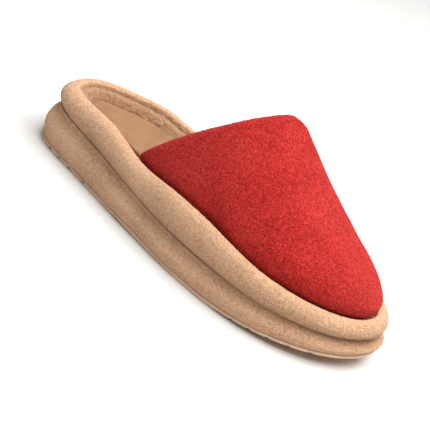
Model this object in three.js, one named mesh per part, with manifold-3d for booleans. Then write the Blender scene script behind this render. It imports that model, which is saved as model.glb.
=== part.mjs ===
// A closed-toe mule slipper for the right foot, standing empty on its sole.
// Millimetres. +X is towards the toe, +Y towards the inner side of the foot, +Z up.
// The tables count x from the back of the heel. The group is centred at the end.
import * as THREE from 'three';
import Module from 'manifold-3d';
import { mergeVertices } from 'three/addons/utils/BufferGeometryUtils.js';

const wasm = await Module();
wasm.setup();

// Driving sizes.
const CLEARANCE = 0.36;
const OUTSOLE_THICK = 2.6;
const OUTSOLE_INSET = 1.4;
const OUTSOLE_EDGE = 0.5;
const INSOLE_THICK = 3;
const EDGE_ROUND = 0.8;
const UPPER_WALL = 2.8;
const LIP_OVERHANG = 0.84;

// Floor under the outsole: a shallow arch at the waist, and a toe that springs up.
const ARCH_RISE = 0.6;
const ARCH = { from: 84, full: 104, fades: 122, to: 142 };
const TOE_SPRING = { from: 180, to: 280, rise: 9.5, power: 1.3 };

// How far the lower roll and the outsole stand out beyond the rim at heel and toe.
const HEEL_FLARE = { from: 0, to: 75, out: 0.8 };
const TOE_FLARE = { from: 225, to: 280, out: 0.3 };

// Outline of the sole seen from above: half widths of its guiding cage.
const OUTLINE_CAGE = [
  { x: -6.6, right: 20.2, left: 13.6 },
  { x: 11.5, right: 33.6, left: 29.4 },
  { x: 42, right: 38.6, left: 44.5 },
  { x: 82, right: 47, left: 46.6 },
  { x: 128, right: 56.2, left: 51 },
  { x: 174, right: 61.4, left: 58 },
  { x: 222, right: 58.4, left: 54.8 },
  { x: 262, right: 39.9, left: 37.9 },
  { x: 284, right: 11.8, left: 15.8 },
];

// Heights along the shoe: groove between the two padded rolls, crest of the rim, insole top.
const HEIGHTS = [
  { x: 0, groove: 29, crest: 44.8, insole: 36.2 },
  { x: 28, groove: 27.6, crest: 44.9, insole: 36.5 },
  { x: 56, groove: 26, crest: 46.2, insole: 36.8 },
  { x: 92, groove: 23.4, crest: 41.7, insole: 36.3 },
  { x: 128, groove: 20.9, crest: 44.1, insole: 34.7 },
  { x: 160, groove: 20.6, crest: 43.8, insole: 32.6 },
  { x: 200, groove: 20.5, crest: 38.8, insole: 30.2 },
  { x: 224, groove: 20.4, crest: 36.7, insole: 29 },
  { x: 280, groove: 20.4, crest: 33, insole: 27 },
];

// Cross-section of the lower roll: inset from the outline, height between outsole and groove.
const LOWER_ROLL = [
  { inset: 1.9, rise: 0 },
  { inset: 0.9, rise: 0.1 },
  { inset: 0.2, rise: 0.27 },
  { inset: 0, rise: 0.42 },
  { inset: 0.6, rise: 0.57 },
  { inset: 2, rise: 0.72 },
  { inset: 4.1, rise: 0.84 },
  { inset: 6.2, rise: 0.93 },
  { inset: 7.2, rise: 1 },
];

// Cross-section of the rim: share of its width from the outside, height from groove to crest.
const RIM_SECTION = [
  { across: 0.355, rise: 0 },
  { across: 0.32, rise: 0.055 },
  { across: 0.255, rise: 0.13 },
  { across: 0.195, rise: 0.23 },
  { across: 0.155, rise: 0.35 },
  { across: 0.138, rise: 0.47 },
  { across: 0.148, rise: 0.59 },
  { across: 0.182, rise: 0.71 },
  { across: 0.245, rise: 0.84 },
  { across: 0.335, rise: 0.94 },
  { across: 0.435, rise: 0.99 },
  { across: 0.52, rise: 1 },
  { across: 0.595, rise: 0.965 },
  { across: 0.64, rise: 0.885 },
  { across: 0.668, rise: 0.8 },
  { across: 0.71, rise: 0.765 },
  { across: 0.78, rise: 0.755 },
  { across: 0.86, rise: 0.69 },
  { across: 0.93, rise: 0.57 },
  { across: 0.985, rise: 0.42 },
  { across: 1, rise: 0.2 },
  { across: 0.9, rise: 0 },
  { across: 0.65, rise: 0 },
];

// Width of the rim and inset of the insole along the shoe. The wall of the upper follows the rim.
const WIDTHS = [
  { x: 0, rim: 24, insole: 24.4 },
  { x: 30, rim: 24, insole: 24.4 },
  { x: 60, rim: 22.6, insole: 23 },
  { x: 84, rim: 20, insole: 23.3 },
  { x: 110, rim: 19.4, insole: 23.1 },
  { x: 160, rim: 20.8, insole: 24.4 },
  { x: 206, rim: 18.6, insole: 23 },
  { x: 245, rim: 19.4, insole: 23 },
  { x: 280, rim: 19.5, insole: 23 },
];
const MAIN_WIDTH = 19.5;

// Lower wall of the upper above its foot, along the side and at the toe.
// Inset from the outline, height from groove to crest. It follows the inner slope of the rim.
const UPPER_LEG = [
  { inset: 19.8, rise: 0.5, toeInset: 19.8, toeRise: 0.52 },
  { inset: 18.9, rise: 0.6, toeInset: 18.6, toeRise: 0.68 },
  { inset: 17.2, rise: 0.72, toeInset: 16.4, toeRise: 0.8 },
  { inset: 15.6, rise: 0.83, toeInset: 14.4, toeRise: 0.9 },
  { inset: 14.6, rise: 0.91, toeInset: 13, toeRise: 1.02 },
  { inset: 14.2, rise: 0.99, toeInset: 12.3, toeRise: 1.42 },
];

// Ridge of the vamp, from the middle of the throat (0) to the toe tip (1).
const RIDGE = [
  { along: 0, x: 155, y: 11.8, z: 110.2 },
  { along: 0.2, x: 179, y: 10, z: 94.1 },
  { along: 0.4, x: 203, y: 6.4, z: 78.3 },
  { along: 0.6, x: 226, y: 4.6, z: 66.7 },
  { along: 0.78, x: 246, y: 3, z: 58.5 },
  { along: 0.9, x: 260, y: 2, z: 49.5 },
];

// Arch of the vamp over the foot. Powers of the outward and upward run on the right and on the
// left at the throat, and the one power that they reach further forward.
const THROAT = {
  right: { cornerX: 84.5, outwards: 0.86, upwards: 1.12 },
  left: { cornerX: 92, outwards: 1, upwards: 0.95 },
};
const FORWARD_POWER = { outwards: 0.96, upwards: 0.94, from: 0.15, to: 0.6 };
const TOEWARD = { from: 215, to: 280 };

// How the arch leans forward from its feet to the ridge, at the throat and at the tip.
const LEAN_RIGHT = { share: 0.78, throat: 1.17, tip: 1.5, ease: 0.8 };
const LEAN_LEFT = { throat: 5.2, tip: 2.6 };
const SWING_LEFT = { out: 23, fades: 2, power: 5.2 };

// Tread: straight grooves across the heel pad and the forefoot pad.
const GROOVE_WIDTH = 2;
const GROOVE_LENGTH = 160;
const GROOVE_DEPTH = 1.4;
const GROOVES_AT = [18.5, 30, 42, 59, 207, 219.5, 232, 244.5, 257];

// Counts of sections.
const OUTLINE_SAMPLES = 720;
const PAIRS = 48;
const UPPER_SLICES = 28;
const ARCH_STEPS = 26;

const lerp = THREE.MathUtils.lerp;
const smooth = (value, low, high) => THREE.MathUtils.smoothstep(value, low, high);

// Smooth curve through the rows of a table, with slopes from the neighbouring rows.
function lookUp(rows, key, column, value) {
  const last = rows.length - 1;
  const clamped = Math.min(Math.max(value, rows[0][key]), rows[last][key]);
  let i = 0;
  while (i < last - 1 && clamped > rows[i + 1][key]) i += 1;
  const slopeAt = (k) => {
    const a = rows[Math.max(k - 1, 0)];
    const b = rows[Math.min(k + 1, last)];
    return (b[column] - a[column]) / (b[key] - a[key]);
  };
  const span = rows[i + 1][key] - rows[i][key];
  const t = (clamped - rows[i][key]) / span;
  const value0 = rows[i][column] * (2 * t ** 3 - 3 * t ** 2 + 1);
  const value1 = rows[i + 1][column] * (3 * t ** 2 - 2 * t ** 3);
  const slope0 = slopeAt(i) * span * (t ** 3 - 2 * t ** 2 + t);
  const slope1 = slopeAt(i + 1) * span * (t ** 3 - t ** 2);
  return value0 + value1 + slope0 + slope1;
}

const heightOf = (column, x) => lookUp(HEIGHTS, 'x', column, x);

function floorHeight(x) {
  const arch = ARCH_RISE * smooth(x, ARCH.from, ARCH.full) * (1 - smooth(x, ARCH.fades, ARCH.to));
  const ahead = Math.max(x - TOE_SPRING.from, 0) / (TOE_SPRING.to - TOE_SPRING.from);
  return arch + TOE_SPRING.rise * ahead ** TOE_SPRING.power;
}

const deckHeight = (x) => heightOf('insole', x) - INSOLE_THICK - CLEARANCE;

function flare(x) {
  const atHeel = HEEL_FLARE.out * (1 - smooth(x, HEEL_FLARE.from, HEEL_FLARE.to));
  return atHeel + TOE_FLARE.out * smooth(x, TOE_FLARE.from, TOE_FLARE.to);
}

const rimWidth = (x) => lookUp(WIDTHS, 'x', 'rim', x);
const insoleInset = (x) => lookUp(WIDTHS, 'x', 'insole', x);

// Closed cubic spline guided by the cage, as points with outward normals.
function splineOutline() {
  const right = OUTLINE_CAGE.map((row) => new THREE.Vector2(row.x, -row.right));
  const left = OUTLINE_CAGE.map((row) => new THREE.Vector2(row.x, row.left)).reverse();
  const cage = [...right, ...left];
  const points = [];
  for (let i = 0; i < OUTLINE_SAMPLES; i += 1) {
    const along = (i / OUTLINE_SAMPLES) * cage.length;
    const first = Math.floor(along);
    const t = along - first;
    const weights = [(1 - t) ** 3, 3 * t ** 3 - 6 * t ** 2 + 4, -3 * t ** 3 + 3 * t ** 2 + 3 * t + 1, t ** 3];
    const point = new THREE.Vector2();
    weights.forEach((weight, k) => {
      point.addScaledVector(cage[(first + k + cage.length - 1) % cage.length], weight / 6);
    });
    points.push(point);
  }
  return points;
}

// Splits the outline at heel and toe into a right and a left side, by arc length.
function splitSides(points) {
  const count = points.length;
  let heel = 0;
  let toe = 0;
  points.forEach((point, i) => {
    if (point.x < points[heel].x) heel = i;
    if (point.x > points[toe].x) toe = i;
  });
  const side = (from, to, step) => {
    const rows = [];
    for (let i = from; ; i = (i + step + count) % count) {
      const before = points[(i - 1 + count) % count];
      const after = points[(i + 1) % count];
      const normal = new THREE.Vector2(after.y - before.y, before.x - after.x).normalize();
      rows.push({ at: points[i], normal });
      if (i === to) break;
    }
    const lengths = [0];
    for (let i = 1; i < rows.length; i += 1) {
      lengths.push(lengths[i - 1] + rows[i].at.distanceTo(rows[i - 1].at));
    }
    return { rows, lengths };
  };
  return { right: side(heel, toe, 1), left: side(heel, toe, -1) };
}

const SIDES = splitSides(splineOutline());

// Point of the outline at a share of the way from heel to toe, moved inwards.
function outlineAt(sideName, share, inset) {
  const { rows, lengths } = SIDES[sideName];
  const wanted = share * lengths[lengths.length - 1];
  let i = 0;
  while (i < lengths.length - 2 && lengths[i + 1] < wanted) i += 1;
  const t = (wanted - lengths[i]) / (lengths[i + 1] - lengths[i]);
  const at = rows[i].at.clone().lerp(rows[i + 1].at, t);
  const normal = rows[i].normal.clone().lerp(rows[i + 1].normal, t).normalize();
  return { point: at.clone().addScaledVector(normal, -inset), edge: at, normal };
}

function shareAtX(sideName, x) {
  const { rows, lengths } = SIDES[sideName];
  const i = rows.findIndex((row) => row.at.x > x);
  return lengths[i] / lengths[lengths.length - 1];
}

// Loop of points round the shoe. Point i on the right faces point 2 * PAIRS - i on the left.
function loopAround(insetAt, heightAt) {
  const loop = [];
  for (let i = 0; i < 2 * PAIRS; i += 1) {
    const onRight = i <= PAIRS;
    const share = onRight ? i / PAIRS : 2 - i / PAIRS;
    const name = onRight ? 'right' : 'left';
    const { edge } = outlineAt(name, share, 0);
    const { point } = outlineAt(name, share, insetAt(edge.x));
    loop.push(new THREE.Vector3(point.x, point.y, heightAt(edge.x)));
  }
  return loop;
}

// Closed geometry from vertices and triangles, without doubled points or empty triangles.
function closedGeometry(vertices, triangles) {
  const raw = new THREE.BufferGeometry();
  raw.setAttribute('position', new THREE.Float32BufferAttribute(vertices.flatMap((v) => [v.x, v.y, v.z]), 3));
  raw.setIndex(triangles.flat());
  const merged = mergeVertices(raw, 1e-3);
  const index = merged.index.array;
  const kept = [];
  for (let i = 0; i < index.length; i += 3) {
    const [a, b, c] = [index[i], index[i + 1], index[i + 2]];
    if (a !== b && b !== c && c !== a) kept.push(a, b, c);
  }
  merged.setIndex(kept);
  return merged;
}

// Skin between neighbouring loops. The last loop joins the first when closed is true.
function skinLoops(loops, closed, triangles) {
  const count = loops[0].length;
  const bands = closed ? loops.length : loops.length - 1;
  for (let j = 0; j < bands; j += 1) {
    const low = j * count;
    const high = ((j + 1) % loops.length) * count;
    for (let i = 0; i < count; i += 1) {
      const next = (i + 1) % count;
      triangles.push([low + i, low + next, high + next], [low + i, high + next, high + i]);
    }
  }
}

// Flat strips from the right side of a loop to its left side.
function capLoop(offset, count, upwards, triangles) {
  for (let i = 0; i < count / 2; i += 1) {
    const a = offset + i;
    const b = offset + i + 1;
    const c = offset + ((count - i - 1) % count);
    const d = offset + ((count - i) % count);
    if (upwards) triangles.push([a, b, c], [a, c, d]);
    else triangles.push([a, c, b], [a, d, c]);
  }
}

function slabGeometry(loops) {
  const triangles = [];
  const count = loops[0].length;
  skinLoops(loops, false, triangles);
  capLoop(0, count, false, triangles);
  capLoop((loops.length - 1) * count, count, true, triangles);
  return closedGeometry(loops.flat(), triangles);
}

function ringGeometry(loops) {
  const triangles = [];
  skinLoops(loops, true, triangles);
  return closedGeometry(loops.flat(), triangles);
}

function toManifold(geometry) {
  const plain = geometry.clone();
  plain.deleteAttribute('normal');
  plain.deleteAttribute('uv');
  const merged = mergeVertices(plain, 1e-4);
  return new wasm.Manifold(new wasm.Mesh({
    numProp: 3,
    vertProperties: new Float32Array(merged.attributes.position.array),
    triVerts: new Uint32Array(merged.index.array),
  }));
}

function fromManifold(solid) {
  const mesh = solid.getMesh();
  const geometry = new THREE.BufferGeometry();
  geometry.setAttribute('position', new THREE.BufferAttribute(mesh.vertProperties, 3));
  geometry.setIndex(new THREE.BufferAttribute(mesh.triVerts, 1));
  return geometry;
}

// Thin rubber outsole with straight tread grooves.
function outsoleGeometry() {
  const inset = (x) => OUTSOLE_INSET - flare(x);
  const slab = slabGeometry([
    loopAround((x) => inset(x) + OUTSOLE_EDGE, floorHeight),
    loopAround(inset, (x) => floorHeight(x) + OUTSOLE_EDGE),
    loopAround(inset, (x) => floorHeight(x) + OUTSOLE_THICK),
  ]);
  let solid = toManifold(slab);
  for (const x of GROOVES_AT) {
    const slope = floorHeight(x + 1) - floorHeight(x - 1);
    const bar = new THREE.BoxGeometry(GROOVE_WIDTH, GROOVE_LENGTH, 2 * GROOVE_DEPTH);
    bar.rotateY(-Math.atan(slope / 2));
    bar.translate(x, 0, floorHeight(x));
    solid = solid.subtract(toManifold(bar));
  }
  return fromManifold(solid);
}

// Padded platform: the lower roll outside, a shoulder under the rim and a deck inside it.
// The roll flares out most at the middle of its height.
function midsoleGeometry() {
  const bottom = (x) => floorHeight(x) + OUTSOLE_THICK + CLEARANCE;
  const top = (x) => heightOf('groove', x) - CLEARANCE / 2;
  const roll = LOWER_ROLL.map((row) => loopAround(
    (x) => row.inset - 4 * flare(x) * row.rise * (1 - row.rise),
    (x) => lerp(bottom(x), top(x), row.rise),
  ));
  return slabGeometry([
    ...roll,
    loopAround((x) => rimWidth(x) + 2 * CLEARANCE, top),
    loopAround((x) => rimWidth(x) + 2 * CLEARANCE, deckHeight),
  ]);
}

// Padded rim: a closed ring on the shoulder of the platform.
function rimGeometry() {
  const bottom = (x) => heightOf('groove', x) + CLEARANCE / 2;
  return ringGeometry(RIM_SECTION.map((row) => loopAround(
    (x) => row.across * rimWidth(x),
    (x) => lerp(bottom(x), heightOf('crest', x), row.rise),
  )));
}

function insoleGeometry() {
  const top = (x) => heightOf('insole', x);
  return slabGeometry([
    loopAround(insoleInset, (x) => top(x) - INSOLE_THICK),
    loopAround(insoleInset, (x) => top(x) - EDGE_ROUND),
    loopAround((x) => insoleInset(x) + EDGE_ROUND, top),
  ]);
}

function legPoint(name, share, row) {
  const { edge } = outlineAt(name, share, 0);
  const toeward = smooth(edge.x, TOEWARD.from, TOEWARD.to);
  const inset = lerp(row.inset, row.toeInset, toeward) * rimWidth(edge.x) / MAIN_WIDTH;
  const { point } = outlineAt(name, share, inset);
  const rise = lerp(row.rise, row.toeRise, toeward);
  const height = lerp(heightOf('groove', edge.x), heightOf('crest', edge.x), rise);
  return new THREE.Vector3(point.x, point.y, Math.max(height, deckHeight(edge.x) + 2 * CLEARANCE));
}

function footPoint(name, share) {
  const { edge } = outlineAt(name, share, 0);
  const { point } = outlineAt(name, share, UPPER_LEG[0].inset * rimWidth(edge.x) / MAIN_WIDTH);
  return new THREE.Vector3(point.x, point.y, deckHeight(edge.x) + CLEARANCE);
}

// Share of the way forward from the right foot of the arch to the ridge.
function leanRight(along, outwards, up) {
  const rising = lerp(LEAN_RIGHT.share, 1, along) * up ** lerp(LEAN_RIGHT.throat, LEAN_RIGHT.tip, along);
  return rising + lerp(1 - LEAN_RIGHT.share, 0, along) * (1 - outwards) ** LEAN_RIGHT.ease;
}

// Share of the way forward from the left foot of the arch to the ridge.
function leanLeft(along, outwards) {
  return 1 - outwards ** lerp(LEAN_LEFT.throat, LEAN_LEFT.tip, along);
}

// The left edge of the throat also swings forward between its foot and the ridge.
function swingLeft(along, outwards) {
  const share = outwards - outwards ** SWING_LEFT.power;
  return SWING_LEFT.out * (1 - along) ** SWING_LEFT.fades * share;
}

// Points of one slice of the vamp, from the right foot of its wall over the arch to the left.
function upperSlice(along) {
  const leg = (name) => {
    const share = lerp(shareAtX(name, THROAT[name].cornerX), 1, along);
    return [footPoint(name, share), ...UPPER_LEG.map((row) => legPoint(name, share, row))];
  };
  const right = leg('right');
  const left = leg('left');
  const tip = legPoint('right', 1, UPPER_LEG[UPPER_LEG.length - 1]);
  const rows = [...RIDGE, { along: 1, x: tip.x, y: tip.y, z: tip.z }];
  const ridge = new THREE.Vector3(...['x', 'y', 'z'].map((column) => lookUp(rows, 'along', column, along)));
  const ahead = smooth(along, FORWARD_POWER.from, FORWARD_POWER.to);
  const arch = [];
  for (let k = 1; k < ARCH_STEPS; k += 1) {
    const angle = (k / ARCH_STEPS) * Math.PI;
    const onRight = k * 2 <= ARCH_STEPS;
    const base = onRight ? right[right.length - 1] : left[left.length - 1];
    const throat = onRight ? THROAT.right : THROAT.left;
    const outwards = Math.abs(Math.cos(angle)) ** lerp(throat.outwards, FORWARD_POWER.outwards, ahead);
    const up = Math.sin(angle) ** lerp(throat.upwards, FORWARD_POWER.upwards, ahead);
    const x = onRight
      ? lerp(base.x, ridge.x, leanRight(along, outwards, up))
      : lerp(base.x, ridge.x, leanLeft(along, outwards)) + swingLeft(along, outwards);
    arch.push(new THREE.Vector3(x, lerp(ridge.y, base.y, outwards), lerp(base.z, ridge.z, up)));
  }
  return [...right, ...arch, ...left.reverse()];
}

// Direction across the wall at a grid point, from its neighbours.
function wallNormal(grid, j, k) {
  const lastRow = grid.length - 1;
  const lastColumn = grid[0].length - 1;
  if (j === lastRow) return new THREE.Vector3(1, 0, 0);
  const along = grid[j + 1][k].clone().sub(grid[Math.max(j - 1, 0)][k]);
  const over = grid[j][Math.min(k + 1, lastColumn)].clone().sub(grid[j][Math.max(k - 1, 0)]);
  return along.cross(over).normalize();
}

// Hollow upper: outer grid, inner grid one wall thickness inside, open below and at the throat.
function upperGeometry() {
  const outer = [];
  for (let j = 0; j <= UPPER_SLICES; j += 1) outer.push(upperSlice(j / UPPER_SLICES));
  const columns = outer[0].length;
  const inner = outer.map((slice, j) => slice.map((point, k) => (
    point.clone().addScaledVector(wallNormal(outer, j, k), -UPPER_WALL)
  )));
  inner.forEach((slice, j) => {
    slice[0].z = outer[j][0].z;
    slice[columns - 1].z = outer[j][columns - 1].z;
  });
  const lip = outer[0].map((point, k) => {
    const middle = point.clone().lerp(inner[0][k], 0.5);
    const back = outer[0][k].clone().sub(outer[1][k]).normalize();
    return middle.addScaledVector(back, k === 0 || k === columns - 1 ? 0 : LIP_OVERHANG);
  });
  const vertices = [...outer.flat(), ...inner.flat(), ...lip];
  const triangles = [];
  const quad = (a, b, c, d) => triangles.push([a, b, c], [a, c, d]);
  const innerStart = outer.length * columns;
  const lipStart = 2 * innerStart;
  for (let j = 0; j < UPPER_SLICES; j += 1) {
    for (let k = 0; k < columns - 1; k += 1) {
      const a = j * columns + k;
      quad(a, a + columns, a + columns + 1, a + 1);
      quad(innerStart + a, innerStart + a + 1, innerStart + a + columns + 1, innerStart + a + columns);
    }
    const right = j * columns;
    const left = right + columns - 1;
    quad(right, innerStart + right, innerStart + right + columns, right + columns);
    quad(left, left + columns, innerStart + left + columns, innerStart + left);
  }
  for (let k = 0; k < columns - 1; k += 1) {
    quad(k, k + 1, lipStart + k + 1, lipStart + k);
    quad(lipStart + k, lipStart + k + 1, innerStart + k + 1, innerStart + k);
  }
  triangles.push([0, lipStart, innerStart]);
  triangles.push([columns - 1, innerStart + columns - 1, lipStart + columns - 1]);
  return closedGeometry(vertices, triangles);
}

function piece(name, geometry, colour, roughness) {
  const material = new THREE.MeshStandardMaterial({ color: colour, roughness, metalness: 0 });
  const mesh = new THREE.Mesh(geometry, material);
  mesh.name = name;
  return mesh;
}

const slipper = new THREE.Group();
slipper.add(
  piece('outsole', outsoleGeometry(), 0xa38568, 0.8),
  piece('midsole', midsoleGeometry(), 0xd3a87e, 0.95),
  piece('rim', rimGeometry(), 0xdcb28a, 0.95),
  piece('insole', insoleGeometry(), 0xcc966c, 0.6),
  piece('upper', upperGeometry(), 0xc8302e, 0.95),
);

// The origin is the middle of the outer box on the floor.
const box = new THREE.Box3().setFromObject(slipper);
slipper.position.set(-(box.min.x + box.max.x) / 2, -(box.min.y + box.max.y) / 2, 0);

export default slipper;
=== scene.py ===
"""A closed-toe mule slipper, dressed over its solid frame: soft rolls, smooth footbed, wool vamp."""
import math

import bmesh
import bpy
import numpy as np
from mathutils import Matrix, Vector


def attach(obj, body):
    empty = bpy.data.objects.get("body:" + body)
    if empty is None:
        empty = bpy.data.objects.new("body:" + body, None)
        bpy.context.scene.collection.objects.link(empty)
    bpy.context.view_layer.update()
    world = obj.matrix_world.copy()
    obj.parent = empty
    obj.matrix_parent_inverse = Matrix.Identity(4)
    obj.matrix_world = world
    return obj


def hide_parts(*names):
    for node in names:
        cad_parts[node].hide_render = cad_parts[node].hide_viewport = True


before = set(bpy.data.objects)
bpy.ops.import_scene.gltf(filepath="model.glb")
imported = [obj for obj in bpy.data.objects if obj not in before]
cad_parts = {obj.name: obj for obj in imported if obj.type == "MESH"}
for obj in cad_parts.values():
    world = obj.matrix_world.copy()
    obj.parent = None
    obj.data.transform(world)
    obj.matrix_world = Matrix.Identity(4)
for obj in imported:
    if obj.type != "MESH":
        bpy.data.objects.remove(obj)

bl_info = {
    "name": "Padded mule slipper",
    "version": (1, 0, 0),
    "blender": (4, 5, 0),
    "location": "3D View > Sidebar > Slipper",
    "description": "Makes the rolls, footbed, sole and vamp of a padded mule slipper",
    "category": "Add Mesh",
}

MM = 0.001
# The tables below count millimetres from the back of the heel. This is that point in the frame.
HEEL_BACK = np.array([-138.375, 1.816, 0.0])

# Cage that guides the outline of the sole: x, half width on the right, half width on the left.
OUTLINE_CAGE = (
    (-6.6, 20.2, 13.6),
    (11.5, 33.6, 29.4),
    (42, 38.6, 44.5),
    (82, 47, 46.6),
    (128, 56.2, 51),
    (174, 61.4, 58),
    (222, 58.4, 54.8),
    (262, 39.9, 37.9),
    (284, 11.8, 15.8),
)
# Heights along the shoe: x, groove between the rolls, crest of the rim, top of the insole.
HEIGHTS = (
    (0, 29, 44.8, 36.2),
    (28, 27.6, 44.9, 36.5),
    (56, 26, 46.2, 36.8),
    (92, 23.4, 41.7, 36.3),
    (128, 20.9, 44.1, 34.7),
    (160, 20.6, 43.8, 32.6),
    (200, 20.5, 38.8, 30.2),
    (224, 20.4, 36.7, 29),
    (280, 20.4, 33, 27),
)
GROOVE, CREST, INSOLE = 1, 2, 3
# Widths along the shoe: x, width of the rim, inset of the insole.
WIDTHS = (
    (0, 24, 24.4),
    (30, 24, 24.4),
    (60, 22.6, 23),
    (84, 20, 23.3),
    (110, 19.4, 23.1),
    (160, 20.8, 24.4),
    (206, 18.6, 23),
    (245, 19.4, 23),
    (280, 19.5, 23),
)
RIM_WIDTH, INSOLE_INSET = 1, 2
# Width of the rim that the wall of the vamp is drawn for. It is scaled to the real width.
MAIN_WIDTH = 19.5

# Thicknesses, the gap round each solid, and the gap where two soft pieces are sewn together.
OUTSOLE_THICK = 2.6
INSOLE_THICK = 3
CLEARANCE = 0.36
SEAM = 0.06

# Floor line under the outsole: a shallow arch at the waist, and a toe that springs up.
ARCH_RISE, ARCH_STARTS, ARCH_ENDS = 0.6, (84, 104), (122, 142)
TOE_SPRING, SPRING_FROM, SPRING_RUN, SPRING_POWER = 9.5, 180, 100, 1.3
# How far the lower roll and the outsole stand out beyond the rim at heel and toe, and where.
HEEL_FLARE, HEEL_FLARE_ENDS = 0.8, (0, 75)
TOE_FLARE, TOE_FLARE_STARTS = 0.3, (225, 280)

# Section of the outsole's edge: inset from the edge of the outsole, height above the floor line.
OUTSOLE_INSET = 1.4
OUTSOLE_EDGE = (
    (0.7, 0),
    (0.25, 0.12),
    (0, 0.5),
    (0, 2.3),
    (0.4, OUTSOLE_THICK),
)
# Straight tread grooves: x, then depth and half width at the heel and at the forefoot.
TREAD_GROOVES = (18.5, 30, 42, 59, 207, 219.5, 232, 244.5, 257)
TREAD_DEPTH = (2, 1)
TREAD_HALF_WIDTH = (1.5, 1)
TREAD_CHANGES = (70, 190)

# Section of the lower roll: inset from the outline, share of the height up to the groove. Its upper
# end is rounder than the solid's, because pile fills part of the valley between the rolls.
LOWER_ROLL = (
    (1.9, 0),
    (0.9, 0.1),
    (0.2, 0.27),
    (0, 0.42),
    (0.6, 0.57),
    (2, 0.72),
    (4, 0.84),
    (5.2, 0.905),
    (5.7, 1),
)
# Section of the rim: share of its width from the outside, share of the height up to the crest. Its
# lower end is rounder than the solid's, for the same reason.
RIM_SECTION = (
    (0.355, 0),
    (0.335, 0.055),
    (0.275, 0.13),
    (0.2, 0.23),
    (0.155, 0.35),
    (0.138, 0.47),
    (0.148, 0.59),
    (0.182, 0.71),
    (0.245, 0.84),
    (0.335, 0.94),
    (0.435, 0.99),
    (0.52, 1),
    (0.595, 0.965),
    (0.64, 0.885),
    (0.668, 0.8),
    (0.71, 0.765),
    (0.78, 0.755),
    (0.86, 0.69),
    (0.93, 0.57),
    (0.985, 0.42),
    (1, 0.2),
    (0.9, 0),
    (0.65, 0),
)
# Share of the rim's width at which its outer side stands out furthest, and at which its inside starts.
BELLY, INSIDE = 0.138, 0.5
# Share of the rim's undercut that the padding leaves open, at the heel and further on.
VALLEY_OPEN, VALLEY_CHANGES = (0.65, 0.88), (20, 110)
# Value of the attribute "curl" in the valley between the rolls: painted shade that darkens the pile.
# Inside the rim, where it is long and curly, the value is 1.
VALLEY_SHADE = 0.35
# Rough width and height of the two roll sections, so that the steps along them come out even.
ROLL_SPAN, RIM_SPAN = (1, 20), (21, 16)
# Shoulder of the platform under the rim: its inset, and its share of the way in to the deck.
SHOULDER_INSET, SHOULDER_SHARE = 4.6, 0.3
# Section of the footbed's edge: inset from the edge of the insole, depth below its top.
FOOTBED_EDGE = (
    (0.3, INSOLE_THICK),
    (0, 2.7),
    (0, 1.2),
    (0.25, 0.5),
    (0.8, 0.12),
    (1.7, 0),
)
# Layers of unevenness: a size in millimetres, or in widths of one loop for loops, and a weight.
LUMPS, LOOPS = ((17, 0.6), (8, 0.25)), ((1, 0.65), (0.55, 0.35))
VAMP_LUMPS, VAMP_LOOPS = ((26, 0.7), (12, 0.3)), ((1, 0.6), (0.6, 0.4))
TUFTS, FOOTBED_LUMPS = ((2.1, 0.6), (1.2, 0.4)), ((9, 0.12),)
# First seed of each. The layers that follow it count up from there.
SEEDS = {"footbed": 5, "platform": 11, "rim": 23, "tufts": 27, "vamp lumps": 31, "vamp loops": 33}

# Ridge of the vamp: share of the way from throat to tip, x, y, z.
RIDGE = (
    (0, 155, 11.8, 110.2),
    (0.2, 179, 10, 94.1),
    (0.4, 203, 6.4, 78.3),
    (0.6, 226, 4.6, 66.7),
    (0.78, 246, 3, 58.5),
    (0.9, 260, 2, 49.5),
)
# Lower wall of the vamp above its foot: inset and rise along the side, then at the toe.
UPPER_LEG = (
    (19.8, 0.5, 19.8, 0.52),
    (18.9, 0.6, 18.6, 0.68),
    (17.2, 0.72, 16.4, 0.8),
    (15.6, 0.83, 14.4, 0.9),
    (14.6, 0.91, 13, 1.02),
    (14.2, 0.99, 12.3, 1.42),
)
# Where the wall changes from its side form to its toe form.
TOE_WALL = (215, 280)
# Arch of the vamp: x of the throat's corners, and powers of the run outwards and upwards at the
# throat. Further forward both sides reach the one pair of powers.
THROAT_CORNER_X = {"right": 84.5, "left": 92}
OUT_POWER = {"right": 0.86, "left": 1, "forward": 0.96}
UP_POWER = {"right": 1.12, "left": 0.95, "forward": 0.94}
POWERS_CHANGE = (0.15, 0.6)
# Lean of the arch towards the ridge on each side, with its powers at the throat and at the tip.
LEAN_SHARE, RIGHT_LEAN, RIGHT_EASE = 0.78, (1.17, 1.5), 0.8
LEFT_LEAN = (5.2, 2.6)
# Swing of the throat's left edge towards the toe.
SWING, SWING_POWER = 23, 5.2
# Passes of easing over the vamp: within a slice, and from slice to slice.
EASE_WITHIN, EASE_ALONG = 8, 4
# Hem of the throat: distance of its swell from the edge, width of the swell, reach of the roll.
HEM_TOP, HEM_WIDTH, HEM_REACH = 2.4, 1.8, 5
# Columns from each foot of the vamp between which its surface starts to move.
FREE_COLUMNS = (6, 24)

# Even scatter of bits for the hashed values: a factor for each axis, for the seed and for the mix.
HASH_AXES = (374761393, 668265263, 2246822519)
HASH_SEED = 3266489917
HASH_MIX = np.uint64(2654435761)

# Looks of the two piles: tones of ground and tips against the middle colour, and the faint light
# that the outer fibres catch.
BEIGE_LOOK = {"dark": (0.7, 0.6, 0.51), "light": (1.16, 1.22, 1.28), "sheen": 0.3, "glow": (1, 0.85, 0.7)}
# The wool's tips are partly painted sheen: their green and blue stand far above the middle colour, for the
# whitish light on lit fibres.
WOOL_LOOK = {"dark": (0.5, 0.25, 0.25), "light": (1.32, 3.3, 2.9), "sheen": 0.15, "glow": (1, 0.5, 0.45)}

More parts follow.
